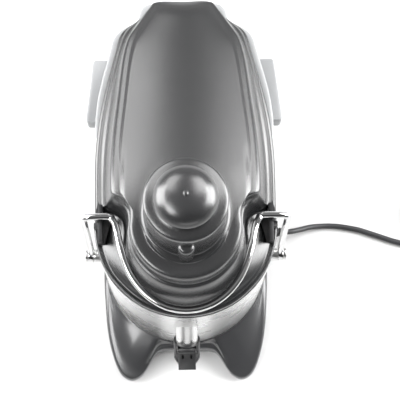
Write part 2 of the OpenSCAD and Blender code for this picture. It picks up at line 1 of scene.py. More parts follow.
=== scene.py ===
# %% [markdown]
# A centrifugal juice extractor, dressed around its CAD frame.
# The CAD model holds every real size and joint. This script adds the camera, the light, the finishes and
# the modelled pieces: the moulded hood, the wire bail, the lobed foot, the pusher knob, the pulp bin and
# the mains cord. Shapes are drawn in millimetres beside the bowl axis, as on a workshop drawing, and
# on_axis turns such a point into the frame's own metres.

# %% The frame and its measures
import json
from math import cos, pi, radians, sin

import bmesh
import bpy
from mathutils import Matrix, Vector

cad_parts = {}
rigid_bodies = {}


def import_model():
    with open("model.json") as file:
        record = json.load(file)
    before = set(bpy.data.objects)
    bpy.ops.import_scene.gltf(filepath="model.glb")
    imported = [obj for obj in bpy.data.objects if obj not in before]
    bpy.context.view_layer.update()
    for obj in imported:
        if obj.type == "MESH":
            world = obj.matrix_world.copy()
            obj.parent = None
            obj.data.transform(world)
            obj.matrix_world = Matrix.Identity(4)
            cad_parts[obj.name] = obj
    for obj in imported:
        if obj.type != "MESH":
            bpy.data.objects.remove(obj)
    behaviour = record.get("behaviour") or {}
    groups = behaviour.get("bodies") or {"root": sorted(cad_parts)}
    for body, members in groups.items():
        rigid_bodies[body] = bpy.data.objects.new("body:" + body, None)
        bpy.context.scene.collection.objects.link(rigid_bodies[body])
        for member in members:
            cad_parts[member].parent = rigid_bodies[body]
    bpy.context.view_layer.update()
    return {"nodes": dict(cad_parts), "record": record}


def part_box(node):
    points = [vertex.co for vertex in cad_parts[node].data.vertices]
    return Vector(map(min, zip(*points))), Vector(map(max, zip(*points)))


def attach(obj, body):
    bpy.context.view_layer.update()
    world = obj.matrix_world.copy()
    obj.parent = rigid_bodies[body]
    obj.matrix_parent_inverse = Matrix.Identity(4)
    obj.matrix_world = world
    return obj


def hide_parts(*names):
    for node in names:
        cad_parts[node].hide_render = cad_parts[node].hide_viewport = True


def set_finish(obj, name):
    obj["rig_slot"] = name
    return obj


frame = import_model()
nodes = frame["nodes"]


def node_box(name):
    """The lowest and highest corner of a CAD node, as vectors."""
    low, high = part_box(name)
    return Vector(low), Vector(high)


bowl_low, bowl_high = node_box("juice_bowl")
AXIS_Y = (bowl_low.y + bowl_high.y) / 2
MM = 0.001


def on_axis(x, y, z):
    """A point given beside the bowl axis in millimetres, in the frame in metres."""
    return Vector((x * MM, y * MM + AXIS_Y, z * MM))


def add_object(name, data):
    """A new object at the origin, linked into the scene."""
    item = bpy.data.objects.new(name, data)
    bpy.context.scene.collection.objects.link(item)
    return item


# %% [markdown]
# The photograph looks almost straight down, from a little in front of the machine.
# The camera's place was worked out from the round rims, which have known radii and heights, so it is
# written as a real position, a downward pitch and a focal length for a frame of 400 by 400.

# %% Camera
CAMERA_PLACE = on_axis(-4.0, -283.1, 1906.9)
CAMERA_PITCH = 78.83
CAMERA_YAW = 3.71
CAMERA_ROLL = 2.96
FOCAL_PIXELS = 1452.2
FRAME_PIXELS = 400
SENSOR = 36.0
CLIP_NEAR, CLIP_FAR = 0.05, 20.0


def make_camera():
    data = bpy.data.cameras.new("camera")
    data.sensor_width = SENSOR
    data.lens = FOCAL_PIXELS / FRAME_PIXELS * SENSOR
    data.clip_start, data.clip_end = CLIP_NEAR, CLIP_FAR
    camera = add_object("camera", data)
    turn = (Matrix.Rotation(radians(-CAMERA_YAW), 4, "Z")
            @ Matrix.Rotation(radians(90 - CAMERA_PITCH), 4, "X")
            @ Matrix.Rotation(radians(CAMERA_ROLL), 4, "Z"))
    camera.matrix_world = Matrix.Translation(CAMERA_PLACE) @ turn
    bpy.context.scene.camera = camera
    return camera


camera = make_camera()
print("camera at", [round(v, 3) for v in camera.matrix_world.translation], "lens", round(camera.data.lens, 1))

# %% [markdown]
# The finishes are procedural, so they keep their detail at any distance.
# Effects that several finishes share are node groups with named sockets. Each is built once here and gets
# its own values in every finish: a moulded grain, brushed streaks, a soft uneven mask and worn edges.

# %% Helpers for node trees
def add_node(tree, kind, **settings):
    """A node with its settings given as properties."""
    node = tree.nodes.new(kind)
    for name, value in settings.items():
        setattr(node, name, value)
    return node


def set_inputs(node, **values):
    """Sets sockets by name; an underscore stands for a blank."""
    for name, value in values.items():
        node.inputs[name.replace("_", " ")].default_value = value
    return node


def new_group(name, inputs, outputs):
    """An empty node group with the named sockets, and its two end nodes."""
    group = bpy.data.node_groups.new(name, "ShaderNodeTree")
    for title, kind, value in inputs:
        socket = group.interface.new_socket(name=title, in_out="INPUT", socket_type=kind)
        if value is not None:
            socket.default_value = value
    for title, kind in outputs:
        group.interface.new_socket(name=title, in_out="OUTPUT", socket_type=kind)
    return group, group.nodes.new("NodeGroupInput"), group.nodes.new("NodeGroupOutput")


VALUE, VECTOR = "NodeSocketFloat", "NodeSocketVector"
print("node helpers ready")

# %% Shared effect: moulded grain, a fine pebbled height and a broad tone
def build_grain_group():
    group, given, put = new_group(
        "moulded_grain", [("Vector", VECTOR, None), ("Scale", VALUE, 900.0), ("Tone Scale", VALUE, 9.0)],
        [("Height", VALUE), ("Tone", VALUE)])
    pebbles = set_inputs(add_node(group, "ShaderNodeTexNoise"), Detail=2.0, Roughness=0.55)
    tone = set_inputs(add_node(group, "ShaderNodeTexNoise"), Detail=3.0, Roughness=0.5)
    for noise, scale in ((pebbles, "Scale"), (tone, "Tone Scale")):
        group.links.new(given.outputs["Vector"], noise.inputs["Vector"])
        group.links.new(given.outputs[scale], noise.inputs["Scale"])
    group.links.new(pebbles.outputs["Fac"], put.inputs["Height"])
    group.links.new(tone.outputs["Fac"], put.inputs["Tone"])
    return group


# %% Shared effect: brushed streaks that run level round a turned or rolled part
def build_streak_group():
    group, given, put = new_group(
        "brushed_streaks", [("Vector", VECTOR, None), ("Along", VALUE, 6.0), ("Across", VALUE, 900.0)],
        [("Streak", VALUE)])
    stretch = add_node(group, "ShaderNodeCombineXYZ")
    scaled = add_node(group, "ShaderNodeVectorMath", operation="MULTIPLY")
    lines = set_inputs(add_node(group, "ShaderNodeTexNoise"), Scale=1.0, Detail=3.0, Roughness=0.65)
    for axis, size in (("X", "Along"), ("Y", "Along"), ("Z", "Across")):
        group.links.new(given.outputs[size], stretch.inputs[axis])
    group.links.new(given.outputs["Vector"], scaled.inputs[0])
    group.links.new(stretch.outputs[0], scaled.inputs[1])
    group.links.new(scaled.outputs[0], lines.inputs["Vector"])
    group.links.new(lines.outputs["Fac"], put.inputs["Streak"])
    return group


# %% Shared effect: soft marks of handling, a mask with clean and rubbed areas
def build_marks_group():
    group, given, put = new_group(
        "handling_marks", [("Vector", VECTOR, None), ("Scale", VALUE, 14.0), ("Low", VALUE, 0.48),
                           ("High", VALUE, 0.72)], [("Mask", VALUE)])
    clouds = set_inputs(add_node(group, "ShaderNodeTexNoise"), Detail=5.0, Roughness=0.62, Distortion=0.4)
    limits = add_node(group, "ShaderNodeMapRange", interpolation_type="SMOOTHSTEP")
    group.links.new(given.outputs["Vector"], clouds.inputs["Vector"])
    group.links.new(given.outputs["Scale"], clouds.inputs["Scale"])
    group.links.new(clouds.outputs["Fac"], limits.inputs["Value"])
    group.links.new(given.outputs["Low"], limits.inputs["From Min"])
    group.links.new(given.outputs["High"], limits.inputs["From Max"])
    group.links.new(limits.outputs["Result"], put.inputs["Mask"])
    return group


# %% Shared effect: worn edges, from how sharply the surface turns
def build_edge_group():
    group, given, put = new_group(
        "worn_edges", [("Vector", VECTOR, None), ("Start", VALUE, 0.53), ("Full", VALUE, 0.64)],
        [("Mask", VALUE)])
    shape = add_node(group, "ShaderNodeNewGeometry")
    limits = add_node(group, "ShaderNodeMapRange", interpolation_type="SMOOTHSTEP")
    broken = set_inputs(add_node(group, "ShaderNodeTexNoise"), Scale=120.0, Detail=3.0)
    both = add_node(group, "ShaderNodeMath", operation="MULTIPLY")
    group.links.new(shape.outputs["Pointiness"], limits.inputs["Value"])
    group.links.new(given.outputs["Start"], limits.inputs["From Min"])
    group.links.new(given.outputs["Full"], limits.inputs["From Max"])
    group.links.new(given.outputs["Vector"], broken.inputs["Vector"])
    group.links.new(limits.outputs["Result"], both.inputs[0])
    group.links.new(broken.outputs["Fac"], both.inputs[1])
    group.links.new(both.outputs[0], put.inputs["Mask"])
    return group


grain_group, streak_group = build_grain_group(), build_streak_group()
marks_group, edge_group = build_marks_group(), build_edge_group()
print("shared effects:", [g.name for g in bpy.data.node_groups])

# %% [markdown]
# A finish starts from its plain shader and the place on the object.
# Colour and roughness each swing between two values under a mask, and a bump takes its height from a
# shared effect. What is the same all over, such as coat and specular level, sits on the shader itself.

# %% Building blocks of a finish
class Finish:
    """A material under construction: its tree, its shader and the object coordinates."""

    def __init__(self, name, metal=0.0, **constant):
        self.material = bpy.data.materials.new(name)
        self.material.use_nodes = True
        self.tree = self.material.node_tree
        self.shader = self.tree.nodes["Principled BSDF"]
        self.place = add_node(self.tree, "ShaderNodeTexCoord").outputs["Object"]
        set_inputs(self.shader, Metallic=metal, **constant)

    def effect(self, group, **values):
        """A shared effect with its own values, placed on the object."""
        node = add_node(self.tree, "ShaderNodeGroup", node_tree=group)
        set_inputs(node, **values)
        self.tree.links.new(self.place, node.inputs["Vector"])
        return node

    def swing(self, mask, low, high):
        """A value that goes from low to high with the mask."""
        node = set_inputs(add_node(self.tree, "ShaderNodeMapRange"), From_Min=0.0, From_Max=1.0,
                          To_Min=low, To_Max=high)
        self.tree.links.new(mask, node.inputs["Value"])
        return node.outputs["Result"]

    def blend(self, mask, first, second):
        """A colour between two, each a colour or another blend."""
        node = add_node(self.tree, "ShaderNodeMix", data_type="RGBA")
        self.tree.links.new(mask, node.inputs["Factor"])
        for socket, colour in ((node.inputs[6], first), (node.inputs[7], second)):
            if isinstance(colour, tuple):
                socket.default_value = (*colour, 1.0)
            else:
                self.tree.links.new(colour, socket)
        return node.outputs[2]

    def bump(self, height, distance):
        """A normal that rises and falls with the height, by so many metres."""
        node = set_inputs(add_node(self.tree, "ShaderNodeBump"), Distance=distance, Strength=1.0)
        self.tree.links.new(height, node.inputs["Height"])
        return node.outputs["Normal"]

    def to(self, **sources):
        """Links the sources to the shader's sockets and hands over the material."""
        for name, source in sources.items():
            self.tree.links.new(source, self.shader.inputs[name.replace("_", " ")])
        return self.material


def tinted(colour, share, lift=0.0):
    """A lighter or darker version of a colour, which stays below white."""
    return tuple(min(1.0, share * c + lift) for c in colour)


print("finish blocks ready")

# %% Finish: satin moulded plastic of the lid, hood and pusher
def moulded_plastic(name, colour, worn, roughness, grain, **constant):
    finish = Finish(name, **constant)
    pebbles = finish.effect(grain_group, Scale=1100.0, Tone_Scale=7.0)
    rubbed = finish.effect(marks_group, Scale=11.0)
    edges = finish.effect(edge_group)
    toned = finish.blend(pebbles.outputs["Tone"], tinted(colour, 0.9), tinted(colour, 1.12))
    shade = finish.blend(edges.outputs["Mask"], toned, worn)
    rough = finish.swing(rubbed.outputs["Mask"], roughness, roughness * 0.93)
    return finish.to(Base_Color=shade, Roughness=rough,
                     Normal=finish.bump(pebbles.outputs["Height"], grain))


moulded_dark = moulded_plastic("moulded_dark", (0.017, 0.0173, 0.018), (0.05, 0.05, 0.052), 0.27, 0.00005,
                               Specular_IOR_Level=1.0)
moulded_gloss = moulded_plastic("moulded_gloss", (0.03, 0.0305, 0.032), (0.08, 0.08, 0.083), 0.24, 0.00003,
                                Specular_IOR_Level=0.8, Coat_Weight=0.25, Coat_Roughness=0.12)
black_plastic = moulded_plastic("black_plastic", (0.012, 0.012, 0.013), (0.05, 0.05, 0.05), 0.42, 0.00005)
print("moulded finishes:", moulded_dark.name, moulded_gloss.name, black_plastic.name)

# %% Finish: frosted plastic of the pulp bin
def frosted_plastic():
    finish = Finish("bin_plastic", Subsurface_Weight=0.2, Subsurface_Scale=0.008, Subsurface_Radius=(1, 1, 1))
    frost = finish.effect(grain_group, Scale=700.0, Tone_Scale=16.0)
    washed = finish.effect(marks_group, Scale=22.0, Low=0.42, High=0.7)
    shade = finish.blend(frost.outputs["Tone"], (0.26, 0.265, 0.27), (0.31, 0.315, 0.32))
    return finish.to(Base_Color=shade, Roughness=finish.swing(washed.outputs["Mask"], 0.46, 0.34),
                     Normal=finish.bump(frost.outputs["Height"], 0.00008))


bin_plastic = frosted_plastic()
print("frosted finish:", bin_plastic.name)

# %% Finish: rubber of the feet, seals, cord and strain relief
def rubber_finish(name, colour, roughness):
    finish = Finish(name, Specular_IOR_Level=0.35)
    skin_grain = finish.effect(grain_group, Scale=1500.0, Tone_Scale=20.0)
    chalky = finish.effect(marks_group, Scale=35.0, Low=0.5, High=0.75)
    shade = finish.blend(chalky.outputs["Mask"], colour, tinted(colour, 1.9, 0.01))
    return finish.to(Base_Color=shade, Roughness=finish.swing(chalky.outputs["Mask"], roughness, 0.78),
                     Normal=finish.bump(skin_grain.outputs["Height"], 0.00006))


rubber = rubber_finish("rubber", (0.018, 0.018, 0.019), 0.6)
cord_rubber = rubber_finish("cord_rubber", (0.03, 0.03, 0.032), 0.42)
print("rubber finishes:", rubber.name, cord_rubber.name)

# %% Finish: brushed, turned and drawn metals
def metal_finish(name, dark, light, roughness, across, depth):
    finish = Finish(name, metal=1.0)
    streaks = finish.effect(streak_group, Along=5.0, Across=across)
    smears = finish.effect(marks_group, Scale=9.0, Low=0.45, High=0.75)
    edges = finish.effect(edge_group, Start=0.52, Full=0.6)
    shade = finish.blend(streaks.outputs["Streak"], dark, light)
    rough = finish.swing(smears.outputs["Mask"], roughness, roughness * 1.2)
    bright = finish.blend(edges.outputs["Mask"], shade, tinted(light, 1.1))
    return finish.to(Base_Color=bright, Roughness=rough,
                     Normal=finish.bump(streaks.outputs["Streak"], depth))


steel = metal_finish("steel", (0.52, 0.52, 0.515), (0.70, 0.70, 0.695), 0.27, 1400.0, 0.00001)
chrome_wire = metal_finish("chrome_wire", (0.60, 0.60, 0.60), (0.72, 0.72, 0.72), 0.09, 300.0, 0.000003)
aluminium = metal_finish("aluminium", (0.50, 0.50, 0.51), (0.64, 0.64, 0.65), 0.36, 1600.0, 0.00002)
motor_iron = metal_finish("motor_iron", (0.20, 0.20, 0.21), (0.30, 0.30, 0.31), 0.45, 2600.0, 0.00006)
copper = metal_finish("copper", (0.42, 0.17, 0.07), (0.62, 0.29, 0.14), 0.33, 1900.0, 0.0001)
print("metal finishes:", steel.name, chrome_wire.name, aluminium.name, motor_iron.name, copper.name)

# %% Finish: glossy push buttons
def button_finish(name, colour):
    finish = Finish(name, Coat_Weight=0.4, Coat_Roughness=0.08)
    pebbles = finish.effect(grain_group, Scale=1300.0, Tone_Scale=60.0)
    touched = finish.effect(marks_group, Scale=90.0)
    shade = finish.blend(pebbles.outputs["Tone"], tinted(colour, 0.85), colour)
    return finish.to(Base_Color=shade, Roughness=finish.swing(touched.outputs["Mask"], 0.24, 0.36),
                     Normal=finish.bump(pebbles.outputs["Height"], 0.00002))


green_button = button_finish("green_button", (0.03, 0.27, 0.09))
red_button = button_finish("red_button", (0.45, 0.03, 0.025))
FINISHES = {
    "moulded_dark": moulded_dark, "moulded_gloss": moulded_gloss, "black_plastic": black_plastic,
    "bin_plastic": bin_plastic, "rubber": rubber, "cord_rubber": cord_rubber, "steel": steel,
    "chrome_wire": chrome_wire, "aluminium": aluminium, "motor_iron": motor_iron, "copper": copper,
    "green_button": green_button, "red_button": red_button}
print(len(FINISHES), "finishes, one for each material slot")

# %% [markdown]
# The mains cord is one open curve of its real length.
# It leaves the strain relief, drops to the table, runs out of the picture to the right and is put away
# there in a flat coil. Only the turns are worked out by a rule: each holds its radius and then steps one
# cord width inwards on the lower layer and outwards on the upper one, so that no two turns touch.

# %% Mains cord
CORD_D = 0.007
CORD_MM = CORD_D / MM
CORD_ROUTE = [(132, 44, 22), (135, 44, 22), (142, 45.2, 20.5), (153, 48.5, 14), (166, 52.4, 8.5), (178, 54, 5),
              (190, 54.6, 3.5), (203.5, 53.9, 3.5), (217, 51.8, 3.5), (231, 48.8, 3.5), (246, 43.9, 3.5),
              (262, 38.2, 3.5), (277, 33, 3.5), (293, 28.8, 3.5), (310, 26, 3.5), (328, 25, 3.5)]
CORD_TAIL = [(397, 84, 10.5), (397, 94, 10.8), (397, 103, 11.7), (397, 107, 12), (397, 110, 12)]
COIL_CENTRE = (350, 72)
COIL_OUTER = 47.0
COIL_STEPS_IN = [(300, 360), (660, 720)]
COIL_STEPS_OUT = [(1220, 1280), (1580, 1640)]
COIL_CLIMB = (900, 980)
COIL_END = 1890
COIL_STEP = 10


def eased(angle, span):
    """0 before the span, 1 after it, and a smooth step between."""
    t = min(max((angle - span[0]) / (span[1] - span[0]), 0.0), 1.0)
    return t * t * (3 - 2 * t)


def coil_point(angle):
    """A point of the coil's centreline, after turning so many degrees, in millimetres."""
    steps = sum(eased(angle, s) for s in COIL_STEPS_IN) - sum(eased(angle, s) for s in COIL_STEPS_OUT)
    radius = COIL_OUTER - CORD_MM * steps
    turn = radians(angle - 90)
    height = CORD_MM / 2 + CORD_MM * eased(angle, COIL_CLIMB)
    return (COIL_CENTRE[0] + radius * cos(turn), COIL_CENTRE[1] + radius * sin(turn), height)


def path_length(points):
    return sum((b - a).length for a, b in zip(points, points[1:]))


def smooth_route(points, parts=4):
    """More points on a smooth curve through a given route."""
    out = []
    for i in range(len(points) - 1):
        a, b = points[max(i - 1, 0)], points[i]
        c, d = points[i + 1], points[min(i + 2, len(points) - 1)]
        for k in range(parts):
            t = k / parts
            out.append(0.5 * (2 * b + (c - a) * t + (2 * a - 5 * b + 4 * c - d) * t * t
                              + (3 * b - a - 3 * c + d) * t ** 3))
    return out + [points[-1]]


def curve_piece(name, points, radius, sides=4):
    """An open poly curve with a round section, as an object at the origin."""
    data = bpy.data.curves.new(name, "CURVE")
    data.dimensions = "3D"
    data.bevel_depth = 1.0  # every point carries the radius itself
    data.bevel_resolution = sides
    data.use_fill_caps = True
    spline = data.splines.new("POLY")
    spline.points.add(len(points) - 1)
    for point, place in zip(spline.points, points):
        point.co = (*place, 1.0)
        point.radius = radius
    spline.use_smooth = True
    return add_object(name, data)


coil = [coil_point(a) for a in range(0, COIL_END + 1, COIL_STEP)]
cord_line = smooth_route([on_axis(*p) for p in CORD_ROUTE + coil[:1]], 3)[:-1]
cord_line += [on_axis(*p) for p in coil] + [on_axis(*p) for p in CORD_TAIL]
mains_cord = curve_piece("mains_cord", cord_line, CORD_D / 2)
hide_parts("cord_run", "cord_coil", "cord_tail")
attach(mains_cord, "machine")
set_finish(mains_cord, "cord_rubber")

# %% [markdown]
# The lid, its hood and the feed tube are one moulding on the real machine.
# It could be put together from primitives, but then the soft steps between them would be missing. So it is
# drawn as one skin: a ring of points starts at the lid's lower edge and is extruded again and again, over
# the rim, across the crescent, up the walls to the top, up the feed tube, down its bore and back under.
# Three outlines steer it: the rim, the foot of the walls and the edge of the top.

# %% Outlines of the lid, as half outlines from the front round to the rear, in millimetres
RIM_R = 101.5
RIM_ANGLES = [-90, -60, -30, -12, -4, 2]
RIM_OUTLINE = [(RIM_R * cos(radians(a)), RIM_R * sin(radians(a))) for a in RIM_ANGLES] + [
    (101.7, 12), (101.9, 22), (102, 36), (101.6, 85), (96, 134), (78.5, 206), (71, 231), (51, 246),
    (36, 262), (0, 263)]
WALL_OUTLINE = [(0, -90), (33, -81), (57, -57), (66, -31), (65.5, -8), (68, 7), (76, 12.5), (88, 15),
                (93, 30), (92, 85), (86, 132), (70.5, 206), (60, 230), (43, 249), (35, 260), (0, 261)]
TOP_OUTLINE = [(0, -69), (30, -61), (52, -39), (59.5, -15), (58.5, 4), (62.5, 15.5), (71, 20.5), (79, 24),
               (80.8, 36), (79.2, 85), (74.4, 131), (63.7, 207), (51, 229), (36.2, 251.8), (33.4, 255.4), (0, 256)]
PARTS = 4
HOOD_TOP = 393.0
HOOD_SLOPE = 0.25
HOOD_FRONT = 26.0
SLOPE_EASE = 26.0


def half_outline(anchors, parts=PARTS):
    """A smooth half outline through its anchors, square to the middle line and without overshoot."""
    points = [Vector((x, y)) for x, y in anchors]
    lead = Vector((-points[1].x, points[1].y))
    tail = Vector((-points[-2].x, points[-2].y))
    row = [lead] + points + [tail]
    out = []
    for i in range(1, len(row) - 2):
        a, b, c, d = row[i - 1:i + 3]
        ab, bc, cd = ((b - a).length ** 0.5, (c - b).length ** 0.5, (d - c).length ** 0.5)
        tangent_b = ((b - a) / ab - (c - a) / (ab + bc) + (c - b) / bc) * bc
        tangent_c = ((c - b) / bc - (d - b) / (bc + cd) + (d - c) / cd) * bc
        for k in range(parts):
            t = k / parts
            out.append(b * (2 * t ** 3 - 3 * t ** 2 + 1) + tangent_b * (t ** 3 - 2 * t ** 2 + t)
                       + c * (3 * t ** 2 - 2 * t ** 3) + tangent_c * (t ** 3 - t ** 2))
    return out + [points[-1]]


def whole_ring(half):
    """A ring of a half and its mirror image, with both ends put on the middle line."""
    half[0].x = half[-1].x = 0.0
    return half + [Vector((-p.x, p.y, p.z)) for p in reversed(half[1:-1])]


def ring_edges(bm, ring):
    """The edges between the neighbours of a closed ring."""
    return [bm.edges.get((a, b)) for a, b in zip(ring, ring[1:] + ring[:1])]


def start_ring(bm, places):
    """The first ring of a skin, made from a circle with as many points."""
    made = bmesh.ops.create_circle(bm, segments=len(places), radius=1.0)
    for vert, place in zip(made["verts"], places):
        vert.co = on_axis(*place)
    return made["verts"]


def next_ring(bm, ring, places):
    """Extrudes the ring's edges and moves the new points to their places."""
    made = bmesh.ops.extrude_edge_only(bm, edges=ring_edges(bm, ring))["geom"]
    fresh = {v for v in made if isinstance(v, bmesh.types.BMVert)}
    after = [next(e.other_vert(v) for e in v.link_edges if e.other_vert(v) in fresh) for v in ring]
    for vert, place in zip(after, places):
        vert.co = on_axis(*place)
    return after


def skin(bm, rings):
    """A skin over a list of rings. Returns the first and the last ring of points."""
    first = start_ring(bm, rings[0])
    last = first
    for places in rings[1:]:
        last = next_ring(bm, last, places)
    return first, last


def closed_skin(bm, rings):
    """A skin whose last ring is joined to its first."""
    first, last = skin(bm, rings)
    bmesh.ops.bridge_loops(bm, edges=ring_edges(bm, last) + ring_edges(bm, first))


def finish_mesh(bm, name, body, slot, subdivide=0, replaces=()):
    """Turns a bmesh into a piece of the scene that rides on a body of the frame."""
    bmesh.ops.recalc_face_normals(bm, faces=bm.faces)
    if bm.calc_volume(signed=True) < 0:  # the recalculation can turn a ring-shaped skin inside out
        bmesh.ops.reverse_faces(bm, faces=bm.faces)
    mesh = bpy.data.meshes.new(name)
    bm.to_mesh(mesh)
    bm.free()
    mesh.shade_smooth()
    piece = add_object(name, mesh)
    if subdivide:
        finer = piece.modifiers.new("finer", "SUBSURF")
        finer.levels = finer.render_levels = subdivide
    if replaces:
        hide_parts(*replaces)
    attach(piece, body)
    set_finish(piece, slot)
    return piece


rim_line, wall_line, top_line = (half_outline(o) for o in (RIM_OUTLINE, WALL_OUTLINE, TOP_OUTLINE))
print("lid outlines of", len(rim_line), "points each")

# %% [markdown]
# Each row below is one ring of the skin. The first three values are for the front, where the rim, the
# channel, the crescent and the cone follow each other. The last two are for the sides and the rear, where
# the flange, two ledges and the wall do. The two are blended where the S-shaped notch lies.

# %% Rows of the lid and hood
IN_RIM, TO_WALL, TO_TOP = "in_rim", "to_wall", "to_top"
OUTSIDE = [
    (IN_RIM, 0.0, 315.0, 0.0, 299.0), (IN_RIM, 0.0, 322.6, 0.0, 301.6), (IN_RIM, 0.7, 324.6, 0.03, 303.8),
    (IN_RIM, 2.0, 325.4, 0.08, 305.2), (IN_RIM, 3.6, 324.8, 0.13, 306.0), (IN_RIM, 5.8, 323.6, 0.17, 307.0),
    (IN_RIM, 8.0, 323.8, 0.21, 312.4), (IN_RIM, 10.0, 324.9, 0.26, 317.6), (IN_RIM, 12.0, 326.2, 0.34, 321.2),
    (TO_WALL, 0.6, 326.8, 0.45, 323.6), (TO_WALL, 0.93, 327.2, 0.54, 325.2), (TO_WALL, 1.0, 329.6, 0.60, 329.0),
    (TO_TOP, 0.12, 338.0, 0.66, 338.0), (TO_TOP, 0.4, 360.0, 0.80, 359.0), (TO_TOP, 0.56, 371.0, 0.87, 369.0),
    (TO_TOP, 0.62, 374.0, 0.91, 375.4), (TO_TOP, 0.70, 375.0, 0.94, 380.0), (TO_TOP, 0.80, 375.8, 0.965, 383.6),
    (TO_TOP, 0.86, 378.0, 0.99, 387.0), (TO_TOP, 0.92, 386.5, 1.01, 389.6), (TO_TOP, 0.97, 391.4, 1.035, 391.5),
    (TO_TOP, 1.04, 393.0, 1.07, 392.7), (TO_TOP, 1.22, 393.2, 1.12, 393.2)]
UNDERSIDE = [
    (TO_TOP, 1.22, 390.0, 1.16, 390.0), (TO_TOP, 1.10, 386.0, 1.12, 386.0), (TO_TOP, 0.95, 371.0, 1.04, 368.0),
    (TO_TOP, 0.50, 344.0, 0.90, 340.0), (TO_TOP, 0.14, 323.8, 0.80, 322.0), (TO_WALL, 0.6, 323.4, 0.58, 319.4),
    (IN_RIM, 9.0, 318.6, 0.30, 310.0), (IN_RIM, 4.6, 316.4, 0.22, 302.4), (IN_RIM, 3.2, 315.0, 0.16, 299.0)]
print("lid rows:", len(OUTSIDE), "outside and", len(UNDERSIDE), "underneath")

# %% One ring of the lid from its row
FLANGE_Z = 299.0
RIM_DETAIL = 12.5           # how wide the rim's own rows are, mm
RIM_FIT = 0.85              # the share of a narrow crescent that they may take
NOTCH_ANCHORS = (4.2, 7.6)  # where the notch lies, counted in anchors of the outlines
CHANNEL = 8.0               # from the rim to where the crescent's floor starts to rise
FLOOR_RISE, FLOOR_WIDTH = 8.0, 34.0


def top_height(y):
    """Height of the falling hood top over a place beside the bowl axis."""
    ease = min(max(y - HOOD_FRONT + SLOPE_EASE, 0.0), 2 * SLOPE_EASE)
    return HOOD_TOP - HOOD_SLOPE * (ease ** 2 / (4 * SLOPE_EASE) + max(y - HOOD_FRONT - SLOPE_EASE, 0.0))


def floor_share(kind, amount):
    """How much of the floor's rise a row has: all of it at the foot of the walls, none at the top's edge."""
    if kind == IN_RIM:
        return max(amount - CHANNEL, 0.0) / FLOOR_WIDTH
    return amount if kind == TO_WALL else max(1 - amount, 0.0)


def lid_ring(kind, amount, front_z, rear_share, rear_z):
    """The ring of a row: its front and its side are worked out apart and then blended round the notch."""
    half = []
    for j, (rim, wall, top) in enumerate(zip(rim_line, wall_line, top_line)):
        rear = eased(j / PARTS, NOTCH_ANCHORS)
        width = (wall - rim).length
        if kind == IN_RIM:
            front = rim + (wall - rim) / width * amount * min(1.0, RIM_FIT * width / RIM_DETAIL)
        elif kind == TO_WALL:
            front = rim.lerp(wall, amount)
        else:
            front = wall.lerp(top, min(amount, 1.0)) - top * max(amount - 1.0, 0.0)
        slope = FLOOR_RISE * min(width / FLOOR_WIDTH, 1.0) * floor_share(kind, amount)
        side = rim.lerp(top, min(rear_share, 1.0)) - Vector((top.x, 0)) * max(rear_share - 1.0, 0.0)
        place = front.lerp(side, rear)
        scale = (top_height(place.y) - FLANGE_Z) / (HOOD_TOP - FLANGE_Z)
        height = front_z + slope * (1 - rear) + (FLANGE_Z + (rear_z - FLANGE_Z) * scale - front_z) * rear
        half.append(Vector((place.x, place.y, height)))
    return whole_ring(half)


print("lid rim at z =", round(lid_ring(*OUTSIDE[0])[0].z, 1), "mm in front")

# %% Rings of the feed tube
TUBE_R = 43.5
TUBE_BORE_R = 39.5
TUBE_TOP = 471.0
TUBE_BOTTOM = 258.2
TUBE_ANGLES = [-90 + 180 * j / (len(rim_line) - 1) for j in range(len(rim_line))]


def tube_ring(radius, height):
    """A level round ring with as many points as the lid's outlines."""
    return whole_ring([Vector((radius * cos(radians(a)), radius * sin(radians(a)), height)) for a in TUBE_ANGLES])


TUBE_FILLET = [(TUBE_R + 2.2, 0.4), (TUBE_R + 0.6, 2.6), (TUBE_R, 6.0)]
TUBE_RINGS = [
    (TUBE_R, TUBE_TOP - 30),
    (TUBE_R, TUBE_TOP - 1.6), (TUBE_R - 1, TUBE_TOP - 0.3), (TUBE_BORE_R + 0.8, TUBE_TOP - 0.3),
    (TUBE_BORE_R, TUBE_TOP - 1.6), (TUBE_BORE_R, 380), (TUBE_BORE_R, TUBE_BOTTOM), (TUBE_R, TUBE_BOTTOM),
    (TUBE_R, 340), (TUBE_R, HOOD_TOP - 5)]
print("feed tube bore", 2 * TUBE_BORE_R, "mm")

# %% [markdown]
# The hood's top is not flat across: in the photograph its middle is darker than both sides, as on a low
# arch. A crown gives that. It starts softly in front of the feed tube, keeps one width beside the notch, and
# is rounded off at the edge there, so that no crease runs from the notch to the tube.

# %% Crowned top of the hood
CROWN = 8.0
CROWN_START = (-62, -22)
NOTCH_END = (48.0, 80.0)
EDGE_SHARE = (-0.02, 0.3)
DECK_INNER_R = TUBE_R + 5.5
DECK_THICKNESS = 3.2
# How far in each ring of the deck lies, going inwards on top and outwards again underneath.
DECK_SHARES = (0.05, 0.1, 0.16, 0.23, 0.31, 0.4, 0.5, 0.6, 0.7, 0.8, 0.9, 1.0)
CEILING_SHARES = (1.0, 0.75, 0.5, 0.25)


def half_width(y):
    """Half width of the hood top at a place behind the bowl axis."""
    for a, b in zip(top_line, top_line[1:]):
        if a.y <= y <= b.y and b.y > a.y:
            return a.x + (b.x - a.x) * (y - a.y) / (b.y - a.y)
    return max(top_line[-2].x, 1.0)


def deck_height(place, share=1.0):
    """Height of the crowned hood top over a place beside the bowl axis, rounded off at its edge."""
    across = min(abs(place.x) / half_width(max(place.y, NOTCH_END[0])), 1.0)
    behind = eased(place.y, NOTCH_END)
    rounded = behind + (1 - behind) * eased(share, EDGE_SHARE)
    return top_height(place.y) + CROWN * (1 - across ** 2) * eased(place.y, CROWN_START) * rounded


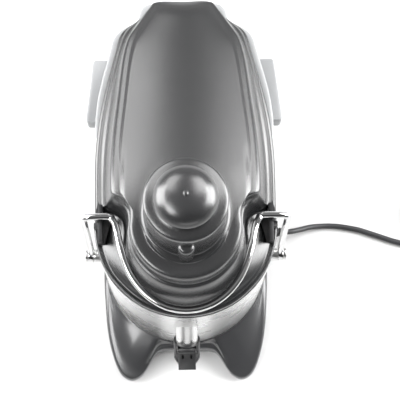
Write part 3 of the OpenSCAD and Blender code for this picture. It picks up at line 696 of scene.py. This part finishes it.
def deck_ring(share, lower=0.0):
    """A ring on the hood top, between its edge (share 0) and the feed tube (share 1)."""
    ring = [a.lerp(b, share) for a, b in zip(lid_ring(*OUTSIDE[-1]), tube_ring(DECK_INNER_R, HOOD_TOP))]
    return [Vector((p.x, p.y, deck_height(p, share) - lower)) for p in ring]


def fillet_ring(radius, lift):
    """A ring of the soft corner between the hood top and the feed tube."""
    return [Vector((p.x, p.y, deck_height(p) + lift)) for p in tube_ring(radius, 0)]


print("hood top", round(deck_height(Vector((0, 120))), 1), "mm high in its middle, 120 mm behind the bowl axis")

# %% The lid, hood and feed tube in one skin
def make_hood():
    """Outside up to the deck, up the feed tube, down its bore, and back to the rim underneath."""
    bm = bmesh.new()
    rings = [lid_ring(*row) for row in OUTSIDE]
    rings += [deck_ring(share) for share in DECK_SHARES]
    rings += [fillet_ring(radius, lift) for radius, lift in TUBE_FILLET]
    rings += [tube_ring(radius, height) for radius, height in TUBE_RINGS]
    rings += [deck_ring(share, DECK_THICKNESS) for share in CEILING_SHARES]
    rings += [lid_ring(*row) for row in UNDERSIDE]
    closed_skin(bm, rings)
    piece = finish_mesh(bm, "lid_and_hood", "machine", "moulded_dark", subdivide=1, replaces=["lid_hood"])
    print("lid and hood:", len(rings), "rings,", len(piece.data.polygons), "faces")


make_hood()

# %% [markdown]
# The pusher's head is a turned shape: a flat collar over the feed tube, a short neck and a round knob.
# A profile is a chain of points, and one spin about the bowl axis turns it into the solid. The bead of
# the injection point on top is a second, tiny ring of the same profile.

# %% Turned pieces
WELD = 0.00001  # points that are closer than this are one, m


def turned(name, profile, body, slot, steps=72, replaces=(), place=(0, 0, 0), turn=Matrix()):
    """Spins a profile of (radius, height) points about an upright axis, turns it and puts it in place."""
    bm = bmesh.new()
    tip = bmesh.ops.create_vert(bm, co=(profile[0][0] * MM, 0, profile[0][1] * MM))["vert"][0]
    for radius, height in profile[1:]:
        tip = bmesh.ops.extrude_vert_indiv(bm, verts=[tip])["verts"][0]
        tip.co = (radius * MM, 0, height * MM)
    bmesh.ops.spin(bm, geom=bm.verts[:] + bm.edges[:], cent=(0, 0, 0), axis=(0, 0, 1), dvec=(0, 0, 0),
                   angle=2 * pi, steps=steps, use_merge=True)
    bmesh.ops.remove_doubles(bm, verts=bm.verts[:], dist=WELD)
    bmesh.ops.transform(bm, matrix=Matrix.Translation(on_axis(*place)) @ turn, verts=bm.verts[:])
    return finish_mesh(bm, name, body, slot, replaces=replaces)


def arc(centre, radius, start, end, count):
    """Points on an arc of a profile, from one angle to another."""
    return [(centre[0] + radius * cos(radians(start + (end - start) * k / count)),
             centre[1] + radius * sin(radians(start + (end - start) * k / count)))
            for k in range(count + 1)]


KNOB_R = 32.8
KNOB_PROFILE = ([(0, TUBE_TOP + 0.2), (40, TUBE_TOP + 0.2), (42.2, TUBE_TOP + 0.2)]
                + arc((42.2, TUBE_TOP + 1.5), 1.3, -90, 0, 3)
                + [(43.3, 473.0), (42.7, 474.1), (41.2, 474.9), (38.4, 475.6), (34.8, 476.4), (31.6, 477.2),
                   (29.8, 478.5), (29.0, 480.2), (29.6, 482.2)]
                + arc((KNOB_R - 9, 488.0), 9, -30, 35, 6)
                + [(28.6, 496.6), (25.0, 499.6), (20.0, 502.0), (14.0, 503.6), (8.0, 504.6), (3.4, 505.0),
                   (1.9, 505.0), (1.7, 505.5), (0.9, 505.6), (0, 505.5)])
pusher_head = turned("pusher_head", KNOB_PROFILE, "pusher", "moulded_dark", steps=96, replaces=["pusher_knob"])
print(pusher_head.name, "of", len(KNOB_PROFILE), "profile points")

# %% The key that guides the pusher, at the front of the feed tube
KEY_R = 8.5
KEY_PROFILE = ([(0, 386), (KEY_R + 1.6, 386), (KEY_R + 0.5, 392), (KEY_R, 398), (KEY_R, 443)]
               + arc((KEY_R - 4, 444.5), 4, 0, 90, 4) + [(0, 448.5)])
feed_key = turned("feed_tube_key", KEY_PROFILE, "machine", "moulded_dark", steps=36, place=(0, -TUBE_R, 0))
print("feed tube key", round(feed_key.dimensions.z / MM, 1), "mm high")

# %% [markdown]
# The foot is a casting with two lobes in front, which hold the machine against tipping over a full glass.
# It is drawn like the lid: rings run from the underside over the rounded edge and up a soft slope to the
# steel housing. The edge is high beside the housing and falls towards the tips of the lobes.

# %% Lobed foot
FOOT_OUTLINE = [(0, -110.8), (14, -110.8), (28, -110.8), (37, -112.8), (44, -120), (51, -131.5), (59, -142),
                (71, -147.6), (82, -143), (90, -132), (97.5, -110), (102.5, -84), (105.5, -44), (106.5, -10),
                (106.5, 30), (105, 70), (99, 91), (80, 98), (40, 98), (0, 98)]
HOUSING_R = 102.0
FOOT_TOP = 40.0
EDGE_DROP = 4.0                    # how far the edge beside the housing is below the foot's top, mm
LOBE_START, LOBE_FALL = 3.0, 0.37  # how far out the edge starts to fall, and how steeply
SWELL, SWELL_ROOM = 5.0, 50        # how high the slope bulges, and the width that a full bulge takes
SLOPE_POWER = 1.35                 # above 1 the slope starts gently at the edge
EDGE_FIT = 0.7                     # the share of a narrow edge that its rounding may take
# Inset from the outline, drop below the edge and share of the slope, for each ring.
FOOT_ROWS = [(0, 14, 0), (0.3, 6, 0), (1.2, 3, 0), (3.0, 1.0, 0), (5.5, 0, 0), (8, 0, 0.12), (8, 0, 0.3),
             (8, 0, 0.5), (8, 0, 0.7), (8, 0, 0.86)]
COLLAR_ROWS = [(1.6, FOOT_TOP - 0.5), (0.3, FOOT_TOP + 0.2), (-1.5, FOOT_TOP), (-3, FOOT_TOP - 6), (-3, 10)]
foot_line = half_outline(FOOT_OUTLINE, 3)


def foot_ring(inset, drop, share):
    """A ring of the foot, from its outer edge (share 0) to the steel housing (share 1)."""
    half = []
    for p in foot_line:
        reach = p.length
        inward = -p / reach
        edge = FOOT_TOP - EDGE_DROP - LOBE_FALL * max(reach - HOUSING_R - LOBE_START, 0.0)
        room = max(reach - inset - HOUSING_R, 0.0)
        rounding = min(inset, EDGE_FIT * max(reach - HOUSING_R, 1.0))
        place = p + inward * (rounding + room * share)
        swell = sin(pi * share) * min(room / SWELL_ROOM, 1.0) * SWELL
        height = edge - drop + (FOOT_TOP - edge + drop) * share ** SLOPE_POWER + swell
        half.append(Vector((place.x, place.y, height)))
    return whole_ring(half)


def base_ring(inset, height):
    """A level ring at the foot's lower edge."""
    return whole_ring([Vector((*p * (1 - inset / p.length), height)) for p in foot_line])


def collar_ring(beyond, height):
    """A round ring at the housing, with its points at the same bearings as the outline's."""
    half = [Vector((p.x, p.y, 0)).normalized() * (HOUSING_R + beyond) for p in foot_line]
    for p in half:
        p.z = height
    return whole_ring(half)


def make_foot():
    """Underside, edge and slope, then the collar round the housing and down inside it."""
    bm = bmesh.new()
    rings = [base_ring(5, 4), base_ring(1.2, 4), base_ring(0, 5.5)]
    rings += [foot_ring(*row) for row in FOOT_ROWS]
    rings += [collar_ring(*row) for row in COLLAR_ROWS]
    closed_skin(bm, rings)
    piece = finish_mesh(bm, "lobed_foot", "machine", "moulded_gloss", subdivide=1, replaces=["foot_shell"])
    print("foot:", len(rings), "rings,", len(piece.data.polygons), "faces")


make_foot()

# %% [markdown]
# The bail is one bent wire. A curve with a round bevel is the direct way to make a wire: only its route
# has to be given. The bends come from a smooth curve through the same points as in the CAD model.

# %% Wire bail
WIRE_D = 8.0
BAR = (7.13, 344.79)  # where its level ends lie, behind the bowl axis and above the table
BAIL_HALF = [(109, -17, 248), (109.5, -11, 275), (111, BAR[0] - 8, BAR[1] - 30),
             (112.5, BAR[0] - 2, BAR[1] - 11), (111.5, BAR[0] - 0.5, BAR[1] - 4), (108, BAR[0], BAR[1] - 1),
             (102, BAR[0], BAR[1]), (84, BAR[0], BAR[1]), (80, BAR[0] - 4, BAR[1] + 0.4),
             (76, BAR[0] - 13, BAR[1]), (72, -24, 346), (66, -45, 345), (57, -63, 344), (42, -80, 343),
             (22, -92, 343), (0, -96, 343)]
bail_points = BAIL_HALF + [(-x, y, z) for x, y, z in reversed(BAIL_HALF[:-1])]
bail_line = smooth_route([on_axis(*p) for p in bail_points], 6)
bail = curve_piece("wire_bail", bail_line, WIRE_D * MM / 2, sides=6)
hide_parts("bail_wire")
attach(bail, "bail")
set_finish(bail, "chrome_wire")
print("bail wire", round(path_length(bail_line), 3), "m long")

# %% [markdown]
# Where the CAD solid already has the right shape, only its edges are too sharp for a moulding.
# A copy of the node is merged, its flat faces are joined again, and a bevel modifier rounds each edge that
# turns by more than an angle. The node itself stays as it is for the collision.

# %% Nodes with softened edges
EASED_SEGMENTS = 2
EASED_ANGLE = radians(35)
FLAT_ANGLE = radians(1)  # faces that turn by less than this are joined


def softened(node_name, body, slot, width):
    """A copy of a node with its edges rounded by so many millimetres."""
    name = node_name + "_eased"
    bm = bmesh.new()
    bm.from_mesh(nodes[node_name].data)
    bmesh.ops.remove_doubles(bm, verts=bm.verts[:], dist=2 * WELD)
    bmesh.ops.dissolve_limit(bm, angle_limit=FLAT_ANGLE, verts=bm.verts[:], edges=bm.edges[:])
    mesh = bpy.data.meshes.new(name)
    bm.to_mesh(mesh)
    bm.free()
    piece = add_object(name, mesh)
    ease = piece.modifiers.new("eased_edges", "BEVEL")
    ease.width = width * MM
    ease.segments = EASED_SEGMENTS
    ease.limit_method = "ANGLE"
    ease.angle_limit = EASED_ANGLE
    ease.harden_normals = True
    mesh.shade_smooth()
    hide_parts(node_name)
    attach(piece, body)
    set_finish(piece, slot)
    return piece


SOFTENED = [("ramp_fin_left", "machine", "black_plastic", 0.8), ("ramp_fin_right", "machine", "black_plastic", 0.8),
            ("spout_nozzle", "machine", "black_plastic", 0.5), ("drip_flap", "flap", "black_plastic", 0.5),
            ("switch_plate", "machine", "black_plastic", 0.8), ("plug_body", "machine", "black_plastic", 1.2),
            ("bail_boss_left", "machine", "steel", 0.5), ("bail_boss_right", "machine", "steel", 0.5),
            ("bail_eyes", "bail", "chrome_wire", 0.7), ("bin_handles", "bin", "bin_plastic", 1.2)]
softened_pieces = [softened(*row) for row in SOFTENED]
print("softened:", [p.name for p in softened_pieces])

# %% [markdown]
# The pulp bin is a thin moulded box, open at the top, with a rolled rim and a bulge behind the hood's
# tongue. The same skin of rings draws it, from the middle of its floor outside to the middle inside. The
# bulge grows out of the wall towards the rim, so each ring mixes the plain outline with the bulged one.

# %% Pulp bin
BIN_FRONT = [(0, 104.5), (50, 104.5), (92, 104.5), (100, 107), (102, 114), (101.3, 135), (97.5, 162),
             (84.5, 212), (80.5, 226), (71, 236.5), (58, 244)]
PLAIN_REAR = [(53, 246.8), (49.5, 249), (46, 250.6), (42, 251.6), (36, 252), (0, 252)]
BULGED_REAR = [(52.5, 248.5), (51, 253.5), (49, 260), (44, 265.5), (36, 267.5), (0, 267.5)]
BULGE_HEIGHTS = (250, 292)
BIN_MIDDLE = Vector((0, 178))
BIN_ROWS = [  # inset and height of each ring, and for some how far it is drawn in to the middle
    (14, 0, 0.95), (14, 0, 0.5), (13, 0), (10, 0.8), (8.4, 3), (8, 8), (6.3, 90), (4.4, 170), (3.4, 220),
    (2.4, 262), (2, 284), (2, 289), (0.6, 290), (0, 291.2), (0, 294.6), (0.7, 296), (9.4, 296), (10.6, 295.2),
    (10.6, 293.6), (9.6, 292.8), (5.6, 291.6), (4.6, 289), (4.6, 284), (5, 258), (7, 160), (10.5, 12),
    (11.5, 6), (14, 3.2), (17, 2.8), (17, 2.8, 0.5), (17, 2.8, 0.95)]
bin_plain, bin_bulged = (half_outline(BIN_FRONT + rear, 3) for rear in (PLAIN_REAR, BULGED_REAR))


def inset_line(line, distance):
    """A half outline moved inwards, square to itself."""
    out = []
    for i, p in enumerate(line):
        before = line[i - 1] if i else Vector((-line[1].x, line[1].y))
        after = line[i + 1] if i < len(line) - 1 else Vector((-line[-2].x, line[-2].y))
        along = (after - before).normalized()
        out.append(p + Vector((-along.y, along.x)) * distance)
    return out


def bin_ring(inset, height, towards_middle=0.0):
    """A level ring of the bin's wall or floor."""
    bulge = eased(height, BULGE_HEIGHTS)
    line = inset_line([a.lerp(b, bulge) for a, b in zip(bin_plain, bin_bulged)], inset)
    return whole_ring([Vector((*p.lerp(BIN_MIDDLE, towards_middle), height)) for p in line])


def make_bin():
    """The wall outside, the rim and the wall inside, with both ends of the skin closed by a face."""
    bm = bmesh.new()
    rings = [bin_ring(*row) for row in BIN_ROWS]
    first, last = skin(bm, rings)
    for ring in (first, last):
        bmesh.ops.contextual_create(bm, geom=ring_edges(bm, ring))
    piece = finish_mesh(bm, "frosted_bin", "bin", "bin_plastic", subdivide=1, replaces=["pulp_bin"])
    print("pulp bin:", len(rings), "rings,", len(piece.data.polygons), "faces")


make_bin()

# %% [markdown]
# A strain relief is a tapered rubber sleeve with ribs, which lets the cord bend only gently where it
# leaves the foot. It is turned like the knob, and laid down on its side before it is put in place.

# %% Strain relief
GLAND_PLACE = (102, 44, 22)
GLAND_LEN = 30
RIBS, RIB_PITCH, RIB_TAPER = 6, 3.6, 0.42


def gland_profile():
    """A flange, then ribs that get thinner, and the bore that the cord goes into."""
    ribs = [(0, 0), (9.5, 0), (9.5, 5.2), (8.6, 6), (7.6, 6.4)]
    for k in range(RIBS):
        start, radius = 7.4 + RIB_PITCH * k, 7.5 - RIB_TAPER * k
        ribs += [(radius, start), (radius, start + 1.9), (radius - 1.1, start + 2.3), (radius - 1.1, start + 3.2)]
    return ribs + [(4.4, GLAND_LEN - 0.6), (4.1, GLAND_LEN), (3.5, GLAND_LEN), (3.5, 12), (0, 12)]


strain_relief = turned("strain_relief", gland_profile(), "machine", "rubber", steps=40, replaces=["cord_gland"],
                       turn=Matrix.Rotation(pi / 2, 4, "Y"), place=GLAND_PLACE)
print("strain relief", GLAND_LEN, "mm long")

# %% [markdown]
# Each CAD node and each modelled piece takes the finish of its material slot.
# The slot names come from the part's record, so the render and the CAD model agree on the materials.

# %% Dress every node and piece
def dress(piece, finish):
    """Gives a piece its one finish."""
    piece.data.materials.clear()
    piece.data.materials.append(finish)


slot_of = {row["node"]: row["material_slot"] for row in frame["record"]["subparts"]}
for name, node in nodes.items():
    dress(node, FINISHES[slot_of[name]])
plain_pieces = [o for o in bpy.data.objects if "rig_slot" in o and not o.data.materials]
for piece in plain_pieces:
    dress(piece, FINISHES[piece["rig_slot"]])
print(len(nodes), "CAD nodes and", len(plain_pieces), "pieces dressed")

# %% [markdown]
# The photograph is a plain product shot: a white table and broad soft light from both sides and above.
# A large floor plane and six area lamps give the same long soft highlights. The two side lamps are the
# strongest, the two high ones behind light both sides of the hood's top, and the two in front are weak.

# %% Table and lamps
TABLE_HALF = 6.0
TABLE_GREY = 0.62
LAMPS = [  # name, place, point that it is aimed at, width and height, and power in watts
    ("left_softbox", (-1.9, 0.35, 1.1), (0, 0.35, 0.4), (1.5, 2.0), 92),
    ("right_softbox", (1.9, 0.35, 1.1), (0, 0.35, 0.4), (1.5, 2.0), 108),
    ("high_left_softbox", (-1.0, 1.35, 1.95), (0.2, 1.0, 0.35), (1.5, 1.2), 31),
    ("high_right_softbox", (1.05, 1.1, 2.05), (-0.2, 0.85, 0.35), (1.4, 1.2), 35),
    ("front_left_softbox", (-1.35, -0.9, 2.05), (0, -0.1, 0.1), (0.9, 0.9), 26),
    ("front_low_softbox", (0.2, -2.2, 0.55), (0, 0, 0.2), (1.8, 0.5), 4)]


def make_table():
    """A wide plane at the height of the feet, which is stage and not part of the machine."""
    mesh = bpy.data.meshes.new("table")
    bm = bmesh.new()
    bmesh.ops.create_grid(bm, x_segments=1, y_segments=1, size=TABLE_HALF)
    bm.to_mesh(mesh)
    bm.free()
    table = add_object("table", mesh)
    finish = bpy.data.materials.new("table_paper")
    finish.use_nodes = True
    set_inputs(finish.node_tree.nodes["Principled BSDF"], Base_Color=(TABLE_GREY, TABLE_GREY, TABLE_GREY, 1),
               Roughness=0.9, Specular_IOR_Level=0.1)
    mesh.materials.append(finish)


def area_lamp(name, place, aim, size, power):
    """A rectangular lamp that faces a point."""
    data = bpy.data.lights.new(name, "AREA")
    data.shape = "RECTANGLE"
    data.size, data.size_y = size
    data.energy = power
    lamp = add_object(name, data)
    lamp.location = place
    lamp.rotation_euler = (Vector(aim) - Vector(place)).to_track_quat("-Z", "Y").to_euler()
    return lamp


make_table()
lamps = [area_lamp(*row) for row in LAMPS]
print("a table and", len(lamps), "softboxes of", sum(lamp.data.energy for lamp in lamps), "W")

# %% [markdown]
# The sky is what the steel, the chromed wire and the glossy foot reflect. It fades from the horizon up to
# the zenith. In front of the machine it is nearly dark above the table's level, as a room is behind a
# photographer, and that gives the foot and the cone their deep tone.

# %% Studio sky
SKY_LOW, SKY_HIGH = 0.7, 0.25
SKY_FADE = (0.1, 0.7)       # between these heights of the view's direction it goes from low to high
FRONT_DARK = 0.85           # how much of the light is taken away in front
FRONT_FADE = (-0.15, -0.6)  # how far to the front that starts and is full
LEVEL_FADE = (-0.02, 0.08)  # it is taken away only above the table's level


def smooth_step(tree, source, span, low, high):
    """A value that goes softly from low to high while the source goes through the span."""
    node = set_inputs(add_node(tree, "ShaderNodeMapRange", interpolation_type="SMOOTHSTEP"), From_Min=span[0],
                      From_Max=span[1], To_Min=low, To_Max=high)
    tree.links.new(source, node.inputs["Value"])
    return node.outputs["Result"]


def combine(tree, operation, first, second):
    """The result of one operation on two sources, of which the first may be a number."""
    node = add_node(tree, "ShaderNodeMath", operation=operation)
    for socket, source in zip(node.inputs, (first, second)):
        if isinstance(source, float):
            socket.default_value = source
        else:
            tree.links.new(source, socket)
    return node.outputs[0]


world = bpy.data.worlds.new("studio")
world.use_nodes = True
sky = world.node_tree
split = add_node(sky, "ShaderNodeSeparateXYZ")
sky.links.new(add_node(sky, "ShaderNodeTexCoord").outputs["Generated"], split.inputs[0])
fade = smooth_step(sky, split.outputs["Z"], SKY_FADE, SKY_LOW, SKY_HIGH)
in_front = smooth_step(sky, split.outputs["Y"], FRONT_FADE, 0.0, FRONT_DARK)
overhead = smooth_step(sky, split.outputs["Z"], LEVEL_FADE, 0.0, 1.0)
kept = combine(sky, "SUBTRACT", 1.0, combine(sky, "MULTIPLY", in_front, overhead))
sky.links.new(combine(sky, "MULTIPLY", fade, kept), sky.nodes["Background"].inputs["Strength"])
sky.nodes["Background"].inputs["Color"].default_value = (1, 1, 1, 1)
bpy.context.scene.world = world
bpy.context.scene.view_settings.view_transform = "Standard"
print("sky from", SKY_LOW, "at the horizon to", SKY_HIGH, "overhead, and darker in front")
